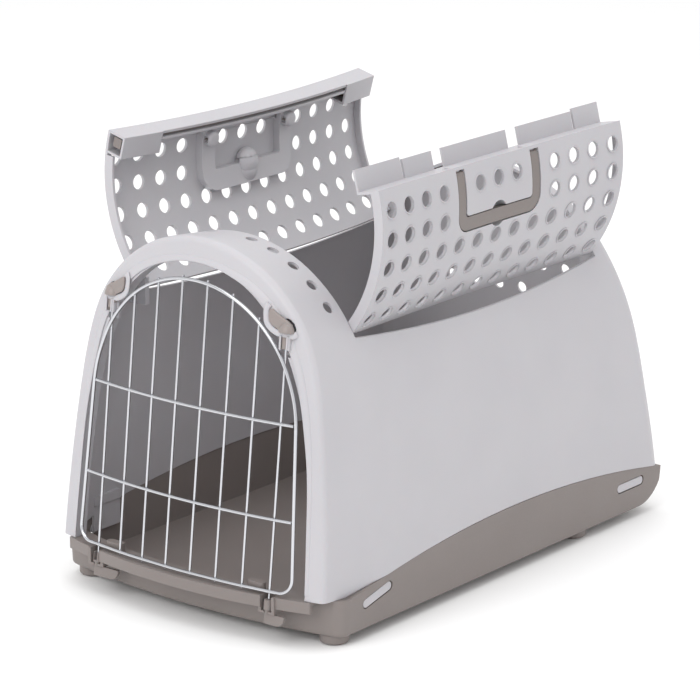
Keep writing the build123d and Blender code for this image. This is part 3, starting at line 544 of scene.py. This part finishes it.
def on_the_skin(lid, arc, y, depth=0.0):
    """A place on an open lid, in metres."""
    angle, reach = arc / vault_radius, vault_radius - depth
    x, z = reach * sin(angle), vault_z + reach * cos(angle)
    z = saddle_z - sqrt((saddle_z + dip - z) ** 2 - (y - lid_middle_y) ** 2)
    u, w, turn = x - axis_x, z - axis_z, lid_open[lid]
    return Vector((lid_side[lid] * (axis_x + u * cos(turn) + w * sin(turn)), y,
                   axis_z - u * sin(turn) + w * cos(turn))) * mm


def skin_frame(lid, arc, y):
    """The matrix of a small frame on the skin: X to the rear, Y down the arc, Z inward."""
    origin = on_the_skin(lid, arc, y)
    down = (on_the_skin(lid, arc + 0.5, y) - origin).normalized()
    rear = (on_the_skin(lid, arc, y + 0.5) - origin).normalized()
    inward = (on_the_skin(lid, arc, y, 0.5) - origin).normalized()
    place = Matrix((rear, down, inward)).transposed().to_4x4()
    place.translation = origin
    return place


print("Crest of the open right lid:", [round(v / mm, 1) for v in on_the_skin("right_lid", 8, lid_middle_y)])

# %% [markdown]
# Every hole of the lids has a fine raised rim on its outer side, which catches the light as a pale ring.
# One ring is modelled, with few faces because there are so many, and is copied to every hole.

# %% Rims of the holes
hole_radius, hole_pitch, row_pitch, hole_rows, hole_columns = 6.6, 26.2, 25.1, 5, 13
first_arc = {"right_lid": 25.9, "left_lid": 22.5}
grid_y = {"right_lid": 12.0, "left_lid": 8.0}
begin()
bpy.ops.mesh.primitive_torus_add(major_segments=20, minor_segments=5,
                                 major_radius=(hole_radius + 0.85) * mm, minor_radius=0.75 * mm)
ring = bpy.context.active_object
ring.scale = (1, 1, 0.8)
bpy.ops.object.transform_apply(location=True, rotation=True, scale=True)
for lid in ("right_lid", "left_lid"):
    rings = []
    for row in range(hole_rows):
        for column in range(hole_columns):
            k = column - hole_columns // 2
            if (row == 0 and abs(k) == 2) or (row == 1 and abs(k) <= 2):
                continue
            copy = ring.copy()
            copy.data = ring.data.copy()
            bpy.context.collection.objects.link(copy)
            copy.matrix_world = skin_frame(lid, first_arc[lid] + row * row_pitch,
                                           grid_y[lid] + k * hole_pitch)
            rings.append(copy)
    take(rings)
    bpy.ops.object.join()
    rims = settle(rings[0], lid + "_hole_rims", shell_grey, lid, smooth=60)
    print(rims.name, len(rims.data.polygons), "faces")
bpy.data.objects.remove(ring)

# %% [markdown]
# Inside a lid the seat of the handle shows as a raised channel. Round caps at the tops of its arms hold
# the pins, with a small window where the taupe handle shows, and a dome over the bar is the back of the
# finger scoop.

# %% Pivot caps and scoop domes
pivot_arc, arm_offset, bar_arc = 17.0, 52.4, 50.0


def pivot_cap(matrix):
    """A round cap with a soft rim and a sunk window that looks towards the door."""
    begin()
    bpy.ops.mesh.primitive_cylinder_add(vertices=32, radius=7.2 * mm, depth=14.4 * mm,
                                        location=(0, 0, 9.4 * mm))
    cap = bpy.context.active_object
    bpy.ops.object.transform_apply(location=True, rotation=True, scale=True)
    soften(cap, 3.2, segments=5)
    for face in cap.data.polygons:
        middle = face.center / mm
        face.select = face.normal.x < -0.9 and abs(middle.y) < 2.4
    bpy.ops.object.mode_set(mode="EDIT")
    bpy.ops.mesh.select_mode(type="FACE")
    bpy.ops.mesh.inset(thickness=0.5 * mm)
    bpy.ops.transform.translate(value=(2.0 * mm, 0, 0))
    bpy.ops.object.mode_set(mode="OBJECT")
    cap.matrix_world = matrix
    return cap


def pin_end(matrix):
    """The handle's pin end in the window: a small block with soft edges."""
    begin()
    bpy.ops.mesh.primitive_cube_add(size=1.0, location=Vector((-5.6, 0, 11.8)) * mm)
    pin = bpy.context.active_object
    pin.scale = Vector((2.6, 2.0, 2.6)) * mm
    bpy.ops.object.transform_apply(location=True, rotation=True, scale=True)
    bpy.ops.object.mode_set(mode="EDIT")
    bpy.ops.mesh.select_all(action="SELECT")
    bpy.ops.mesh.bevel(offset=0.5 * mm, segments=3)
    bpy.ops.object.mode_set(mode="OBJECT")
    pin.matrix_world = matrix
    return pin


def scoop_dome(matrix, planes):
    """Part of a dome: an ellipsoid cut by planes, each a point and the way that is kept."""
    begin()
    bpy.ops.mesh.primitive_uv_sphere_add(segments=40, ring_count=24, radius=1.0)
    dome = bpy.context.active_object
    dome.scale = Vector((12.0, 13.0, 8.6)) * mm
    dome.location = Vector((0, 0, 7.6)) * mm
    bpy.ops.object.transform_apply(location=True, rotation=True, scale=True)
    bpy.ops.object.mode_set(mode="EDIT")
    for point, keep in planes:
        bpy.ops.mesh.select_all(action="SELECT")
        bpy.ops.mesh.bisect(plane_co=Vector(point) * mm, plane_no=keep, use_fill=True, clear_inner=True)
    bpy.ops.object.mode_set(mode="OBJECT")
    dome.matrix_world = matrix
    return dome


for lid in ("right_lid", "left_lid"):
    for end, sign in (("front", -1), ("rear", 1)):
        matrix = skin_frame(lid, pivot_arc, grid_y[lid] + sign * arm_offset)
        settle(pivot_cap(matrix), lid + "_pivot_cap_" + end, shell_grey, lid, smooth=40)
        settle(pin_end(matrix), lid + "_pin_end_" + end, handle_taupe, lid, smooth=40)
    matrix = skin_frame(lid, bar_arc, grid_y[lid])
    over_bar = scoop_dome(matrix, [((0, 0, 8.8), (0, 0, 1))])
    above_bar = scoop_dome(matrix, [((0, 0, 1.6), (0, 0, 1)), ((0, -4.6, 0), (0, -1, 0))])
    take([over_bar, above_bar])
    bpy.ops.object.transform_apply(location=True, rotation=True, scale=True)
    bpy.ops.object.join()
    dome = settle(over_bar, lid + "_scoop_dome", shell_grey, lid, smooth=50)
    print(dome.name, len(dome.data.polygons), "faces")

# %% [markdown]
# The studio is a pale seamless floor. A big plane is enough, because the world around it is as pale as
# the floor, so no horizon shows. A faint unevenness keeps it from being a flat colour.

# %% Floor
bpy.ops.object.select_all(action="DESELECT")
bpy.ops.mesh.primitive_plane_add(size=30, location=(0, 0, -0.0005))
floor = bpy.context.active_object
floor.name = "studio_floor"
bpy.ops.object.transform_apply(location=True, rotation=True, scale=True)
floor_paper = new_material("matt_white_backdrop_paper")
floor_place = add_node(floor_paper, "ShaderNodeTexCoord")
fibres = add_node(floor_paper, "ShaderNodeTexNoise", {"Vector": floor_place.outputs["Object"], "Scale": 400.0,
                                                      "Detail": 2.0})
paper_bump = add_node(floor_paper, "ShaderNodeBump", {"Height": fibres.outputs["Fac"], "Strength": 0.1,
                                                      "Distance": 0.05 * mm})
surface(floor_paper, add_node(floor_paper, "ShaderNodeBsdfPrincipled", {
    "Base Color": linear("#fbfbfb"), "Roughness": 0.9, "Normal": paper_bump.outputs[0]}))
floor.data.materials.append(floor_paper)
print("Floor:", floor.name)

# %% [markdown]
# Product photographs on white use big soft sources. A pale world fills every side, a wide softbox hangs
# overhead, and a second one stands on the left of the camera and lights the arch and the front of the
# tray, so that the long side stays a shade darker than the top, as in the photograph.

# %% Light
world = bpy.data.worlds.new("studio_world")
bpy.context.scene.world = world
world.use_nodes = True
world.node_tree.nodes["Background"].inputs["Color"].default_value = linear("#ffffff")
world.node_tree.nodes["Background"].inputs["Strength"].default_value = 0.93


def softbox(name, place, target, width, height, watts):
    """A rectangular area light that looks at a target."""
    bpy.ops.object.light_add(type="AREA", location=place)
    light = bpy.context.active_object
    light.name = name
    light.data.shape = "RECTANGLE"
    light.data.size, light.data.size_y, light.data.energy = width, height, watts
    light.rotation_euler = (Vector(target) - Vector(place)).to_track_quat("-Z", "Y").to_euler()
    return light


softbox("overhead_softbox", (0.2, 0.1, 2.4), (0, 0, 0.1), 2.4, 2.4, 22)
softbox("front_softbox", (-0.1, -2.6, 1.8), (0, 0, 0.15), 1.6, 1.6, 26)

# %% [markdown]
# The camera stands where a fit to the photograph's perspective puts it, with the camera taken as level:
# about 3 m away, 39 degrees round to the right of the door and 16 degrees up, with a long lens. The fit
# depends on that, because a tilted camera would stand elsewhere and match the same points as well.

# %% Camera
bpy.ops.object.camera_add(location=(1.8006, -2.2741, 1.0107), rotation=(radians(74), 0, radians(38.56)))
camera = bpy.context.active_object
camera.data.sensor_width = 36
camera.data.lens = 177.05
camera.data.clip_end = 100
bpy.context.scene.camera = camera
bpy.context.scene.view_settings.view_transform = "Standard"
print("Lens:", camera.data.lens, "mm")
